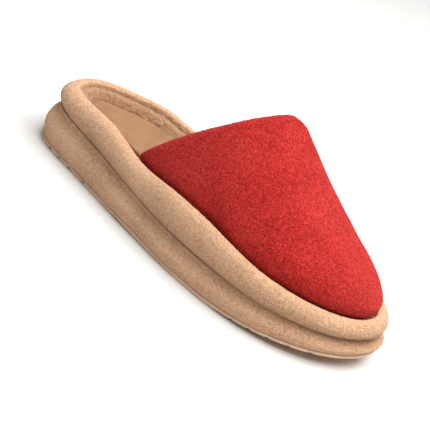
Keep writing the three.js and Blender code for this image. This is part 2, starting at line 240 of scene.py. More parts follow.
# The picture's camera: turn, tilt and roll in degrees, distance and aim in metres, lens and sensor in
# millimetres, and shift as a share of the width.
CAMERA_TURN, CAMERA_TILT, CAMERA_ROLL = 24.245, 28.84, 25.464
CAMERA_DISTANCE, CAMERA_AIM = 0.7394, (0.001625, 0.001816, 0.025)
CAMERA_LENS, CAMERA_SENSOR, CAMERA_SHIFT = 91.13, 36, (-0.00271, -0.0134)
# Lights: name, place in metres, size in metres, power in watts.
LIGHTS = (
    ("wide softbox overhead", (0.31, 0.2, 1.26), 1.4, 40),
    ("weak fill from the front", (0, -0.87, 1.03), 1.0, 4),
)
ROOM_LIGHT = 0.02
FLOOR_HALF = 3.0


def linear(code):
    """An sRGB hex colour as linear red, green and blue."""
    values = [int(code[i:i + 2], 16) / 255 for i in (0, 2, 4)]
    return tuple(v / 12.92 if v <= 0.04045 else ((v + 0.055) / 1.055) ** 2.4 for v in values)


def colour_setting(name, description, code):
    """A colour of the panel, given as an sRGB hex code."""
    return bpy.props.FloatVectorProperty(
        name=name, description=description, subtype="COLOR", size=3, min=0, max=1, default=linear(code))


class SlipperSizes(bpy.types.PropertyGroup):
    """Sizes of the soft finish. The main sizes come from the solid frame."""

    wall: bpy.props.FloatProperty(
        name="Vamp wall", description="Thickness of the vamp with its lining",
        default=2.8 * MM, min=1.5 * MM, max=5 * MM, unit="LENGTH")
    hem: bpy.props.FloatProperty(
        name="Hem swell", description="How far the turned hem at the throat swells",
        default=0.45 * MM, min=0, max=1.5 * MM, unit="LENGTH")
    lip: bpy.props.FloatProperty(
        name="Hem roll", description="How far the throat edge rolls inwards",
        default=1.6 * MM, min=0, max=4 * MM, unit="LENGTH")
    loop: bpy.props.FloatProperty(
        name="Loop size", description="Width of one loop of the pile",
        default=0.85 * MM, min=0.4 * MM, max=4 * MM, unit="LENGTH")
    pile: bpy.props.FloatProperty(
        name="Pile relief", description="Height of the loops of the pile above its ground",
        default=0.34 * MM, min=0, max=1 * MM, unit="LENGTH")
    curl: bpy.props.FloatProperty(
        name="Curl relief", description="Height of the long curly loops on the inner side of the rim",
        default=0.75 * MM, min=0, max=1.5 * MM, unit="LENGTH")
    softness: bpy.props.FloatProperty(
        name="Padding unevenness", description="How far the padding lies off its even shape",
        default=0.45 * MM, min=0, max=2 * MM, unit="LENGTH")
    dish: bpy.props.FloatProperty(
        name="Footbed dish", description="How far the footbed sinks in its middle",
        default=0.9 * MM, min=0, max=2 * MM, unit="LENGTH")


class SlipperColours(bpy.types.PropertyGroup):
    """Colours of the finishes, kept as linear values of sRGB codes."""

    wool: colour_setting("Wool", "Middle tone of the red vamp", "C82320")
    pile: colour_setting("Pile", "Middle tone of the beige rolls", "EAB992")
    footbed: colour_setting("Footbed", "Smooth tan footbed", "956C4D")
    # The rubber is drawn paler than its own colour: painted light, for the light from below that the floor
    # keeps off the outsole.
    rubber: colour_setting("Rubber", "Greyish tan outsole", "E3BEA0")
    floor: colour_setting("Floor", "Plain pale floor", "DEDDDB")


def millimetres(sizes):
    """The sizes of the panel by name, in millimetres."""
    return {key: getattr(sizes, key) / MM for key in sizes.__annotations__}


def smoothstep(value, low, high):
    """0 below low, 1 above high, and 3t^2 - 2t^3 between them."""
    t = np.clip((value - low) / (high - low), 0, 1)
    return t * t * (3 - 2 * t)


def blend(start, end, share):
    """A straight mix: start at share 0, end at share 1."""
    return start + (end - start) * share


def curve_through(rows, column, at):
    """Smooth curve through a table: cubic pieces whose slope at a row joins its two neighbours."""
    rows = np.asarray(rows, float)
    x, y = rows[:, 0], rows[:, column]
    k = np.arange(len(x))
    before, after = np.maximum(k - 1, 0), np.minimum(k + 1, len(x) - 1)
    slope = (y[after] - y[before]) / (x[after] - x[before])
    at = np.clip(at, x[0], x[-1])
    i = np.clip(np.searchsorted(x, at) - 1, 0, len(x) - 2)
    span = x[i + 1] - x[i]
    t = (at - x[i]) / span
    start = y[i] * (2 * t**3 - 3 * t**2 + 1) + slope[i] * span * (t**3 - 2 * t**2 + t)
    return start + y[i + 1] * (3 * t**2 - 2 * t**3) + slope[i + 1] * span * (t**3 - t**2)


def even_steps(path, count):
    """Points at equal steps of length along each path; the last axis holds the coordinates."""
    length = np.linalg.norm(np.diff(path, axis=-2), axis=-1)
    run = np.concatenate([np.zeros((*length.shape[:-1], 1)), np.cumsum(length, -1)], -1)
    share = run / np.maximum(run[..., -1:], 1e-9)
    wanted = np.linspace(0, 1, count)
    flat = path.reshape(-1, *path.shape[-2:])
    shares = share.reshape(-1, share.shape[-1])
    out = [np.stack([np.interp(wanted, s, p[:, c]) for c in range(p.shape[1])], -1)
           for s, p in zip(shares, flat)]
    return np.array(out).reshape(*path.shape[:-2], count, path.shape[-1])


def section_points(table, span, samples, count, closed=False):
    """Points at even steps on the smooth curve through the rows of a section.

    Span is the section's rough width and height in millimetres. A closed section joins its last row
    to its first, and leaves out the last point, which is the first again.
    """
    before, after = (table[-2:], table[:2]) if closed else ((), ())
    rows = [(k, *row) for k, row in enumerate((*before, *table, *after))]
    first = len(before)
    at = np.linspace(first, first + len(table) - 1 + closed, samples)
    path = np.stack([curve_through(rows, k, at) for k in (1, 2)], -1)
    even = even_steps(path * span, count) / span
    return even[:-1] if closed else even


def eased(grid, axis, passes):
    """Each point moves to the mean of itself twice and its two neighbours; the ends stay."""
    grid = np.moveaxis(grid, axis, 0).copy()
    for _ in range(passes):
        grid[1:-1] = (grid[:-2] + 2 * grid[1:-1] + grid[2:]) / 4
    return np.moveaxis(grid, 0, axis)


def floor_height(x):
    """Underside of the outsole: a shallow arch at the waist and a toe that springs up."""
    arch = ARCH_RISE * smoothstep(x, *ARCH_STARTS) * (1 - smoothstep(x, *ARCH_ENDS))
    return arch + TOE_SPRING * (np.maximum(x - SPRING_FROM, 0) / SPRING_RUN) ** SPRING_POWER


def flare(x):
    """How far the lower roll and the outsole stand out beyond the rim at heel and toe."""
    return HEEL_FLARE * (1 - smoothstep(x, *HEEL_FLARE_ENDS)) + TOE_FLARE * smoothstep(x, *TOE_FLARE_STARTS)


def valley_open(x):
    """Share of the rim's undercut above the valley that stays open: less of it at the heel."""
    return blend(*VALLEY_OPEN, smoothstep(x, *VALLEY_CHANGES))


def height_of(column, x):
    """A height from the table of heights."""
    return curve_through(HEIGHTS, column, x)


def rim_width(x):
    """Width of the padded rim: wider round the heel than along the vamp."""
    return curve_through(WIDTHS, RIM_WIDTH, x)


def deck_height(x):
    """Top of the platform inside the rim, on which the insole and the vamp's foot stand."""
    return height_of(INSOLE, x) - INSOLE_THICK - CLEARANCE


def sole_sides(samples=2880):
    """Closed cubic spline guided by the cage, cut at heel and toe into a right and a left side.

    Each side gives its points from heel to toe, the outward direction, and the share of its length.
    """
    rows = np.array(OUTLINE_CAGE, float)
    right = rows[:, :2] * [1, -1]
    left = rows[::-1, ::2]
    cage = np.concatenate([right, left])
    along = np.arange(samples) / samples * len(cage)
    first = np.floor(along).astype(int)
    t = along - first
    weights = np.stack([(1 - t) ** 3, 3 * t**3 - 6 * t**2 + 4, -3 * t**3 + 3 * t**2 + 3 * t + 1, t**3])
    corners = cage[(first + np.arange(-1, 3)[:, None]) % len(cage)]
    points = (weights[..., None] * corners).sum(0) / 6
    step = np.roll(points, -1, 0) - np.roll(points, 1, 0)
    normals = np.stack([step[:, 1], -step[:, 0]], -1)
    normals /= np.linalg.norm(normals, axis=-1, keepdims=True)
    heel, toe = points[:, 0].argmin(), points[:, 0].argmax()
    picks = {
        "right": np.arange(heel, heel + (toe - heel) % samples + 1) % samples,
        "left": np.arange(heel, heel - (heel - toe) % samples - 1, -1) % samples,
    }
    sides = {}
    for name, pick in picks.items():
        run = np.concatenate([[0], np.cumsum(np.linalg.norm(np.diff(points[pick], axis=0), axis=-1))])
        sides[name] = (points[pick], normals[pick], run / run[-1])
    return sides


SIDES = sole_sides()


def outline_at(side, share):
    """Point of the outline at a share of the way from heel to toe, and the direction outwards."""
    points, normals, run = SIDES[side]
    edge = np.stack([np.interp(share, run, points[:, k]) for k in (0, 1)], -1)
    out = np.stack([np.interp(share, run, normals[:, k]) for k in (0, 1)], -1)
    return edge, out / np.linalg.norm(out, axis=-1, keepdims=True)


def share_at(side, x):
    """Share of the way from heel to toe at which a side passes x."""
    points, _, run = SIDES[side]
    return np.interp(x, points[:, 0], run)


def outline_round(columns):
    """Outline once round the shoe, heel to toe on the right and back on the left."""
    turn = np.arange(columns) / columns
    share = np.where(turn <= 0.5, 2 * turn, 2 - 2 * turn)
    right, left = outline_at("right", share), outline_at("left", share)
    pick = (turn <= 0.5)[:, None]
    return np.where(pick, right[0], left[0]), np.where(pick, right[1], left[1])


def loops_round(edge, out, inset, height):
    """Loops round the shoe: the outline moved inwards by inset, at a height. Both are row by column."""
    flat = edge - out * inset[..., None]
    return np.concatenate([flat, height[..., None]], -1)


def cap(loop, shares):
    """Rows that close a loop: each point moves to the middle between it and its partner."""
    partner = np.roll(loop[::-1], 1, axis=0)
    return loop + ((loop + partner) / 2 - loop) * np.asarray(shares)[:, None, None]


def lattice(points, size, seed):
    """Smooth random values from -1 to 1: hashed values at the corners of cubes, eased between them."""
    scaled = points / size
    cell = np.floor(scaled).astype(np.int64)
    t = scaled - cell
    t = t * t * (3 - 2 * t)
    total = 0
    for corner in np.ndindex(2, 2, 2):
        at = (cell + corner).astype(np.uint64)
        mix = sum(at[..., axis] * factor for axis, factor in enumerate(HASH_AXES)) + seed * HASH_SEED
        mix = (mix ^ (mix >> np.uint64(15))) * HASH_MIX
        value = ((mix ^ (mix >> np.uint64(13))) & np.uint64(0xFFFF)) / 32767.5 - 1
        weight = np.prod(np.where(corner, t, 1 - t), axis=-1)
        total = total + value * weight
    return total


def layered(points, layers, seed, unit=1):
    """Sum of smooth random values. Each layer has a size, counted in the unit, and a weight."""
    return sum(lattice(points, size * unit, seed + k) * weight for k, (size, weight) in enumerate(layers))


def grid_normals(grid, wrapped):
    """Direction outwards at each point: the cross product of the steps along its row and column."""
    def step(axis):
        if axis in wrapped:
            return np.roll(grid, -1, axis) - np.roll(grid, 1, axis)
        return np.gradient(grid, axis=axis)
    normal = np.cross(step(1), step(0))
    return normal / np.maximum(np.linalg.norm(normal, axis=-1, keepdims=True), 1e-9)


def soften(grid, wrapped, size, cover, seed):
    """Padding and pile: the surface moves along its normal by broad lumps and by small loops."""
    broad = layered(grid, LUMPS, seed)
    loops = layered(grid, LOOPS, seed + len(LUMPS), size["loop"])
    move = cover * (size["softness"] * broad + size["pile"] * loops)
    return grid + grid_normals(grid, wrapped) * move[..., None]


def outsole_grid(columns=1800):
    """Outsole: its edge section carried round the outline, closed below and above.

    The inset is the same all round, less the flare. Within a groove's half width the underside
    rises to the groove's depth above the floor line, with a short slope at the groove's sides.
    """
    edge, out = outline_round(columns)
    x = edge[:, 0]
    section = np.array(OUTSOLE_EDGE)
    low = floor_height(x)
    walls = loops_round(edge, out, section[:, :1] + OUTSOLE_INSET - flare(x), section[:, 1:] + low)
    under = np.concatenate([cap(walls[0], np.linspace(1, 0.05, 16)), walls[:-1]])
    near = np.min(np.abs(under[..., 0, None] - np.array(TREAD_GROOVES)), axis=-1)
    ahead = smoothstep(under[..., 0], *TREAD_CHANGES)
    within = 1 - smoothstep(near / blend(*TREAD_HALF_WIDTH, ahead), 0.8, 1.2)
    under[..., 2] += np.maximum(low + blend(*TREAD_DEPTH, ahead) * within - under[..., 2], 0)
    return np.concatenate([under, walls[-1:], cap(walls[-1], [0.1, 0.5, 1])])


def platform_grid(size, columns=880, rows=46):
    """Platform: the section of the lower roll carried round the outline, with a deck inside the rim.

    The outline moves inwards by the section's inset, less 4 t (1 - t) times the flare at the share
    t of the height. The height runs straight from the outsole to the groove. Lumps and loops move
    the roll, fading out under the rim. Also gives, for the attribute "curl", the painted shade of the
    valley at each row, which darkens the pile near the groove.
    """
    edge, out = outline_round(columns)
    x = edge[:, 0]
    drawn = section_points(LOWER_ROLL, ROLL_SPAN, 120, rows)
    inset, rise = drawn[:, :1], drawn[:, 1:]
    bottom = floor_height(x) + OUTSOLE_THICK + SEAM
    top = height_of(GROOVE, x) - SEAM / 2
    roll = loops_round(edge, out, inset - flare(x) * 4 * rise * (1 - rise), blend(bottom, top, rise))
    roll = soften(roll, (1,), size, 1 - smoothstep(rise, 0.8, 1), SEEDS["platform"])
    width = rim_width(x) + 2 * CLEARANCE
    shoulder = blend(SHOULDER_INSET, width, SHOULDER_SHARE)
    deck = loops_round(edge, out, np.stack([shoulder, width, width]), np.stack([top, top, deck_height(x)]))
    below = cap(roll[0], [1, 0.6, 0.3, 0.1])
    above = np.concatenate([deck, cap(deck[-1], [0.2, 0.6, 1])])
    # Painted shade of the valley: the pile darkens towards the groove.
    valley_shade = VALLEY_SHADE * smoothstep(rise, 0.55, 0.9)
    valley_shade = np.concatenate([np.zeros((len(below), 1)), valley_shade, np.zeros((len(above), 1))])
    return np.concatenate([below, roll, above]), valley_shade


def rim_grid(size, columns=900, rows=92):
    """Rim: its closed section carried round the outline, scaled to the rim's width and height.

    Outside and below the belly the undercut shrinks to its open share. Lumps and loops move the
    surface, and long curly tufts the inside. Also gives the attribute "curl", which darkens the pile:
    1 inside, where the pile is long and curly and its darkening is partly painted shade of the
    creases, and less on the lower outside, where it is painted shade of the valley alone.
    """
    edge, out = outline_round(columns)
    x = edge[:, 0]
    drawn = section_points(RIM_SECTION, RIM_SPAN, 400, rows, closed=True)
    across, rise = drawn[:, :1], drawn[:, 1:]
    undercut = np.maximum(across - BELLY, 0) * (1 - smoothstep(rise, 0.3, 0.5)) * (across < INSIDE)
    across = across - undercut * (1 - valley_open(x))
    bottom = height_of(GROOVE, x) + SEAM / 2
    roll = loops_round(edge, out, across * rim_width(x), blend(bottom, height_of(CREST, x), rise))
    roll = soften(roll, (0, 1), size, smoothstep(rise, 0.02, 0.3), SEEDS["rim"])
    # Long curly pile inside the rim: its relief is real, its darker colour partly painted shade of the
    # creases.
    curl = smoothstep(across, 0.58, 0.66) * smoothstep(rise, 0.1, 0.3)
    tufts = layered(roll, TUFTS, SEEDS["tufts"])
    roll = roll + grid_normals(roll, (0, 1)) * (size["curl"] * curl * tufts)[..., None]
    # Painted shade of the valley on the rim's lower outside, below its belly.
    valley_shade = VALLEY_SHADE * (1 - smoothstep(rise, 0.15, 0.55)) * (across < INSIDE)
    return roll, np.maximum(curl, valley_shade)


def footbed_grid(size, columns=400):
    """Footbed: its edge section carried round the outline, closed below and above.

    The top sinks towards its middle line by the dish, eased by 3t^2 - 2t^3, and is faintly uneven.
    """
    edge, out = outline_round(columns)
    x = edge[:, 0]
    section = np.array(FOOTBED_EDGE)
    inset = section[:, :1] + curve_through(WIDTHS, INSOLE_INSET, x)
    walls = loops_round(edge, out, inset, height_of(INSOLE, x) - section[:, 1:])
    shares = np.linspace(0.05, 1, 20)
    crown = cap(walls[-1], shares)
    crown[..., 2] -= size["dish"] * smoothstep(shares, 0, 0.9)[:, None]
    crown[..., 2] += layered(crown, FOOTBED_LUMPS, SEEDS["footbed"])
    return np.concatenate([cap(walls[0], [1, 0.5, 0.1]), walls, crown])


def vamp_leg(side, share):
    """Wall of the vamp below its arch on one side: a foot on the deck, then the rim's inner slope."""
    edge, out = outline_at(side, share)
    x = edge[:, 0]
    ahead = smoothstep(x, *TOE_WALL)
    deck = deck_height(x)
    insets, heights = [UPPER_LEG[0][0] + 0 * x], [deck + CLEARANCE]
    for inset, rise, toe_inset, toe_rise in UPPER_LEG:
        insets.append(blend(inset, toe_inset, ahead))
        height = blend(height_of(GROOVE, x), height_of(CREST, x), blend(rise, toe_rise, ahead))
        heights.append(np.maximum(height, deck + 2 * CLEARANCE))
    wide = rim_width(x) / MAIN_WIDTH
    return loops_round(edge, out, np.stack(insets) * wide, np.stack(heights)).swapaxes(0, 1)


def vamp_slices(count, columns):
    """Outer face of the vamp, slice by slice from throat to tip, from right foot to left foot.

    A slice is a straight foot, a leg that follows the rim's inner slope, and an arch. The arch is
    a superellipse: outwards is |cos| to a power, up is sin to the same power, and it leans
    forwards towards the ridge by up to a further power.
    """
    along = np.linspace(0, 1, count)
    legs = {side: vamp_leg(side, blend(share_at(side, x), 1, along)) for side, x in THROAT_CORNER_X.items()}
    tip = legs["right"][-1, -1]
    ridge = np.stack([curve_through((*RIDGE, (1, *tip)), k, along) for k in (1, 2, 3)], -1)[:, None]
    angle = np.linspace(0, math.pi, 241)[None, 1:-1]
    on_right = angle <= math.pi / 2
    along = along[:, None]
    base = np.where(on_right[..., None], legs["right"][:, -1:], legs["left"][:, -1:])
    ahead = smoothstep(along, *POWERS_CHANGE)
    out_power, up_power = (blend(np.where(on_right, power["right"], power["left"]), power["forward"], ahead)
                           for power in (OUT_POWER, UP_POWER))
    outwards = np.abs(np.cos(angle)) ** out_power
    up = np.sin(angle) ** up_power
    right_lean = blend(LEAN_SHARE, 1, along) * up ** blend(*RIGHT_LEAN, along)
    right_lean = right_lean + blend(1 - LEAN_SHARE, 0, along) * (1 - outwards) ** RIGHT_EASE
    left_lean = 1 - outwards ** blend(*LEFT_LEAN, along)
    swing = SWING * (1 - along) ** 2 * (outwards - outwards ** SWING_POWER) * ~on_right
    arch = np.stack([
        blend(base[..., 0], ridge[..., 0], np.where(on_right, right_lean, left_lean)) + swing,
        blend(ridge[..., 1], base[..., 1], outwards),
        blend(base[..., 2], ridge[..., 2], up)], -1)
    path = np.concatenate([legs["right"], arch, legs["left"][:, ::-1]], 1)
    return eased(eased(even_steps(path, columns), 1, EASE_WITHIN), 0, EASE_ALONG)


def vamp_grid(size, rows=176, columns=210):
    """Wall of the vamp: outer face from tip to throat, a half-round lip, inner face back to the tip.

    The inner face lies one wall inside the outer, along its normal. At a distance d from the
    throat both roll inwards by the lip times (1 - d / reach) squared, and the outer face swells by
    a bell curve over the hem. Lumps move both faces, loops the outer alone. The foot of the wall,
    which the rim hides, doesn't move.
    """
    outer = vamp_slices(rows, columns)
    normal = -grid_normals(outer, ())
    normal[-1] = (1, 0, 0)
    inner = outer - normal * size["wall"]
    inner[:, 0, 2], inner[:, -1, 2] = outer[:, 0, 2], outer[:, -1, 2]
    distance = np.cumsum(np.linalg.norm(np.diff(outer, axis=0, prepend=outer[:1]), axis=-1), 0)
    from_foot = np.minimum(np.arange(columns), np.arange(columns)[::-1])[None]
    free = smoothstep(from_foot, *FREE_COLUMNS)
    swell = size["hem"] * np.exp(-((distance - HEM_TOP) / HEM_WIDTH) ** 2)
    roll = size["lip"] * np.clip(1 - distance / HEM_REACH, 0, 1) ** 2
    outer = outer + normal * (free * (swell - roll))[..., None]
    inner = inner - normal * (free * roll)[..., None]
    lumps = size["softness"] * layered(outer, VAMP_LUMPS, SEEDS["vamp lumps"])
    loops = size["pile"] * layered(outer, VAMP_LOOPS, SEEDS["vamp loops"], size["loop"])
    outer = outer + normal * (free * (lumps + loops))[..., None]
    inner = inner + normal * (free * lumps)[..., None]
    back = outer[0] - outer[1]
    back /= np.linalg.norm(back, axis=-1, keepdims=True)
    turn = np.linspace(0, math.pi, 8)[1:-1, None, None]
    half = (outer[0] - inner[0]) / 2
    reach = np.linalg.norm(half, axis=-1, keepdims=True) * free[0][:, None]
    lip = inner[0] + half + half * np.cos(turn) + back * reach * np.sin(turn)
    return np.concatenate([outer[::-1], lip, inner])


def foot_faces(rows, columns):
    """Faces that close the vamp's grid along its two feet, between its outer and its inner face.

    The last one of each foot folds onto itself in the middle of the lip. It isn't left in the mesh
    once the mesh is cleaned.
    """
    low = np.arange(rows // 2)
    high = rows - 1 - low
    right = np.stack([low, high, high - 1, low + 1], -1) * columns
    left = right[:, ::-1] + columns - 1
    return np.concatenate([right, left])


def skin(name, grid, wrap_rows=False, extra=None, curl=0):
    """Mesh object from a grid in millimetres whose columns close on themselves unless extra is given.

    The four-sided faces join neighbouring grid points; doubled points at seams and poles are merged.
    The attribute "curl", from 0 to 1, is kept at each point. It marks the long curly pile inside the
    rim and the painted shade of the valley between the rolls, and the material darkens the pile by it.
    """
    rows, columns = grid.shape[:2]
    i = np.arange(rows if wrap_rows else rows - 1)[:, None]
    j = np.arange(columns if extra is None else columns - 1)[None]
    up, across = (i + 1) % rows, (j + 1) % columns
    faces = np.stack([i * columns + j, i * columns + across, up * columns + across, up * columns + j], -1)
    faces = faces.reshape(-1, 4)
    if extra is not None:
        faces = np.concatenate([faces, extra])
    mesh = bpy.data.meshes.new(name)
    mesh.vertices.add(rows * columns)
    mesh.vertices.foreach_set("co", ((grid + HEEL_BACK) * MM).astype(np.float32).ravel())
    mesh.loops.add(faces.size)
    mesh.loops.foreach_set("vertex_index", faces.astype(np.int32).ravel())
    mesh.polygons.add(len(faces))
    mesh.polygons.foreach_set("loop_start", np.arange(0, faces.size, 4, dtype=np.int32))
    mesh.update(calc_edges=True)
    share = np.broadcast_to(curl, (rows, columns)).astype(np.float32)
    mesh.attributes.new("curl", "FLOAT", "POINT").data.foreach_set("value", share.ravel())
    work = bmesh.new()
    work.from_mesh(mesh)
    bmesh.ops.remove_doubles(work, verts=work.verts, dist=2e-6)
    bmesh.ops.dissolve_degenerate(work, edges=work.edges, dist=1e-7)
    work.to_mesh(mesh)
    work.free()
    mesh.shade_smooth()
    piece = bpy.data.objects.new(name, mesh)
    bpy.context.scene.collection.objects.link(piece)
    return piece


def fit_piece(piece, node, material):
    """Puts the piece in place of its solid, with its material."""
    piece.data.materials.append(material)
    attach(piece, "root")
    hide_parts(node)


def add(tree, kind, inputs=None, **settings):
    """Adds one node: settings are its properties, inputs maps a socket to a value or an output."""
    node = tree.nodes.new(kind)
    for key, value in settings.items():
        setattr(node, key, value)
    for key, value in (inputs or {}).items():
        if isinstance(value, bpy.types.NodeSocket):
            tree.links.new(value, node.inputs[key])
        else:
            node.inputs[key].default_value = value
    return node


def blank(name):
    """An empty node material and its tree."""
    material = bpy.data.materials.new(name)
    material.use_nodes = True
    material.node_tree.nodes.clear()
    return material, material.node_tree


def tone(colour, factor):
    """A colour made lighter or darker, with its fourth value for a socket."""
    return (*[min(max(c * f, 0), 1) for c, f in zip(colour, factor)], 1)


def looped_pile(name, colour, loop, dark, light, sheen, glow):
    """Knitted fabric with a short looped pile, brushed so that some loops open.

    It looks soft and very matt: light goes into the dark ground between the loops, and their pale
    tips make a fine speckle. Real loops would blur away at the picture's size, so they are drawn
    coarser, at the panel's loop size. Tufts of about three loops and patches of 26 mm, where the
    pile lies over, shade it more broadly. Where the attribute "curl" is above 0 the relief deepens
    and the colour darkens towards the ground: painted shade in the valley between the rolls and in
    the creases inside the rim, where the loops are also really longer and curlier.
    """
    material, tree = blank(name)
    place = add(tree, "ShaderNodeTexCoord").outputs["Object"]
    curl = add(tree, "ShaderNodeAttribute", attribute_name="curl").outputs["Fac"]
    loops = add(tree, "ShaderNodeTexNoise", {
        "Vector": place, "Scale": 1 / loop, "Detail": 3, "Roughness": 0.65, "Distortion": 0.8})
    tufts = add(tree, "ShaderNodeTexNoise", {
        "Vector": place, "Scale": 1 / (3.2 * loop), "Detail": 2, "Roughness": 0.55})
    patches = add(tree, "ShaderNodeTexNoise", {"Vector": place, "Scale": 1 / (26 * MM), "Detail": 1})
    height = add(tree, "ShaderNodeMath", {0: tufts.outputs["Fac"], 1: 0.22, 2: loops.outputs["Fac"]},
                 operation="MULTIPLY_ADD")
    lie = add(tree, "ShaderNodeMath", {0: patches.outputs["Fac"], 1: 0.16, 2: height.outputs[0]},
              operation="MULTIPLY_ADD")
    # Where "curl" is above 0 the tone drops towards the dark ground: painted shade.
    depth = add(tree, "ShaderNodeMath", {0: curl, 1: -0.14, 2: lie.outputs[0]}, operation="MULTIPLY_ADD")
    ramp = add(tree, "ShaderNodeValToRGB", {"Fac": depth.outputs[0]})
    stops = ramp.color_ramp.elements
    stops[0].position, stops[0].color = 0.56, tone(colour, dark)
    stops[1].position, stops[1].color = 0.82, tone(colour, light)
    middle = stops.new(0.69)
    middle.color = (*colour, 1)
    relief = add(tree, "ShaderNodeMath", {0: curl, 1: 1.4 * loop, 2: 1.9 * loop},
                 operation="MULTIPLY_ADD")
    bump = add(tree, "ShaderNodeBump", {
        "Height": height.outputs[0], "Strength": 1.0, "Distance": relief.outputs[0]})
    shader = add(tree, "ShaderNodeBsdfPrincipled", {
        "Base Color": ramp.outputs["Color"], "Normal": bump.outputs["Normal"], "Roughness": 0.85,
        "Specular IOR Level": 0.15, "Sheen Weight": sheen, "Sheen Roughness": 0.5,
        "Sheen Tint": (*glow, 1)})
    add(tree, "ShaderNodeOutputMaterial", {"Surface": shader.outputs["BSDF"]})
    return material


def tan_microfibre(colour):
    """Bonded microfibre, sanded to a nap too short to see: smooth and matt.

    Its grain of 0.5 mm hardly shows, and a faint mottle of 14 mm keeps it from looking flat.
    """
    material, tree = blank("napped tan microfibre")
    place = add(tree, "ShaderNodeTexCoord").outputs["Object"]
    grain = add(tree, "ShaderNodeTexNoise", {
        "Vector": place, "Scale": 1 / (0.5 * MM), "Detail": 3, "Roughness": 0.6})
    mottle = add(tree, "ShaderNodeTexNoise", {"Vector": place, "Scale": 1 / (14 * MM), "Detail": 3})
    mix = add(tree, "ShaderNodeMath", {0: grain.outputs["Fac"], 1: 0.25, 2: mottle.outputs["Fac"]},
              operation="MULTIPLY_ADD")
    ramp = add(tree, "ShaderNodeValToRGB", {"Fac": mix.outputs[0]})
    stops = ramp.color_ramp.elements
    stops[0].position, stops[0].color = 0.4, tone(colour, (0.88, 0.86, 0.84))
    stops[1].position, stops[1].color = 0.85, tone(colour, (1.1, 1.12, 1.14))
    bump = add(tree, "ShaderNodeBump", {
        "Height": grain.outputs["Fac"], "Strength": 0.25, "Distance": 0.08 * MM})
    shader = add(tree, "ShaderNodeBsdfPrincipled", {
        "Base Color": ramp.outputs["Color"], "Normal": bump.outputs["Normal"], "Roughness": 0.72,
        "Specular IOR Level": 0.3, "Sheen Weight": 0.15, "Sheen Roughness": 0.4})
    add(tree, "ShaderNodeOutputMaterial", {"Surface": shader.outputs["BSDF"]})
    return material


def moulded_rubber(colour):
    """Soft rubber pressed in a spark-eroded mould, which leaves an even matt skin with fine grain.

    The grain is drawn at 0.6 mm, coarser than the real one, so that it shows. Ribs of 2.4 mm run
    across the underside between the deep grooves. A wave texture turns through 20 radians for each
    unit of its scale, which is why the scale of the ribs is divided by 20.
    """
    material, tree = blank("moulded soft rubber")
    place = add(tree, "ShaderNodeTexCoord").outputs["Object"]
    grain = add(tree, "ShaderNodeTexNoise", {
        "Vector": place, "Scale": 1 / (0.6 * MM), "Detail": 2, "Roughness": 0.5})
    ribs = add(tree, "ShaderNodeTexWave", {
        "Vector": place, "Scale": 2 * math.pi / (2.4 * MM) / 20, "Distortion": 0.0},
        wave_type="BANDS", bands_direction="X", wave_profile="SIN")
    down = add(tree, "ShaderNodeSeparateXYZ", {
        "Vector": add(tree, "ShaderNodeNewGeometry").outputs["True Normal"]})
    under = add(tree, "ShaderNodeMapRange", {
        "Value": down.outputs["Z"], "From Min": -0.5, "From Max": -0.9, "To Min": 0.0, "To Max": 1.0})
    ribbed = add(tree, "ShaderNodeMath", {0: ribs.outputs["Fac"], 1: under.outputs["Result"]},
                 operation="MULTIPLY")
    relief = add(tree, "ShaderNodeMath", {0: grain.outputs["Fac"], 1: 0.15, 2: ribbed.outputs[0]},
                 operation="MULTIPLY_ADD")
    wear = add(tree, "ShaderNodeTexNoise", {"Vector": place, "Scale": 1 / (9 * MM), "Detail": 3})
    ramp = add(tree, "ShaderNodeValToRGB", {"Fac": wear.outputs["Fac"]})
    stops = ramp.color_ramp.elements
    stops[0].position, stops[0].color = 0.3, tone(colour, (0.9, 0.9, 0.9))
    stops[1].position, stops[1].color = 0.75, tone(colour, (1.08, 1.08, 1.08))
    bump = add(tree, "ShaderNodeBump", {
        "Height": relief.outputs[0], "Strength": 0.5, "Distance": 0.35 * MM})
    shader = add(tree, "ShaderNodeBsdfPrincipled", {
        "Base Color": ramp.outputs["Color"], "Normal": bump.outputs["Normal"], "Roughness": 0.6,
        "Specular IOR Level": 0.4})
    add(tree, "ShaderNodeOutputMaterial", {"Surface": shader.outputs["BSDF"]})
    return material


def painted_board(colour):
    """Board with matt paint: an even pale floor that throws no reflection."""
    material, tree = blank("matt painted board")
    shader = add(tree, "ShaderNodeBsdfPrincipled", {
        "Base Color": (*colour, 1), "Roughness": 0.9, "Specular IOR Level": 0.1})
    add(tree, "ShaderNodeOutputMaterial", {"Surface": shader.outputs["BSDF"]})
    return material


class SLIPPER_OT_outsole(bpy.types.Operator):
    """Makes the thin rubber outsole with its tread grooves"""

    bl_idname = "slipper.outsole"
    bl_label = "Outsole"

    def execute(self, context):
        piece = skin("outsole_skin", outsole_grid())
        fit_piece(piece, "outsole", moulded_rubber(context.scene.slipper_colours.rubber))
        return {"FINISHED"}


class SLIPPER_OT_platform(bpy.types.Operator):
    """Makes the padded platform, the lower of the two soft rolls"""

    bl_idname = "slipper.platform"
    bl_label = "Platform"

    def execute(self, context):
        sizes, colours = context.scene.slipper_sizes, context.scene.slipper_colours
        grid, valley_shade = platform_grid(millimetres(sizes))
        piece = skin("platform_roll", grid, curl=valley_shade)
        pile = looped_pile("brushed beige pile of the platform", colours.pile, sizes.loop, **BEIGE_LOOK)
        fit_piece(piece, "midsole", pile)
        return {"FINISHED"}


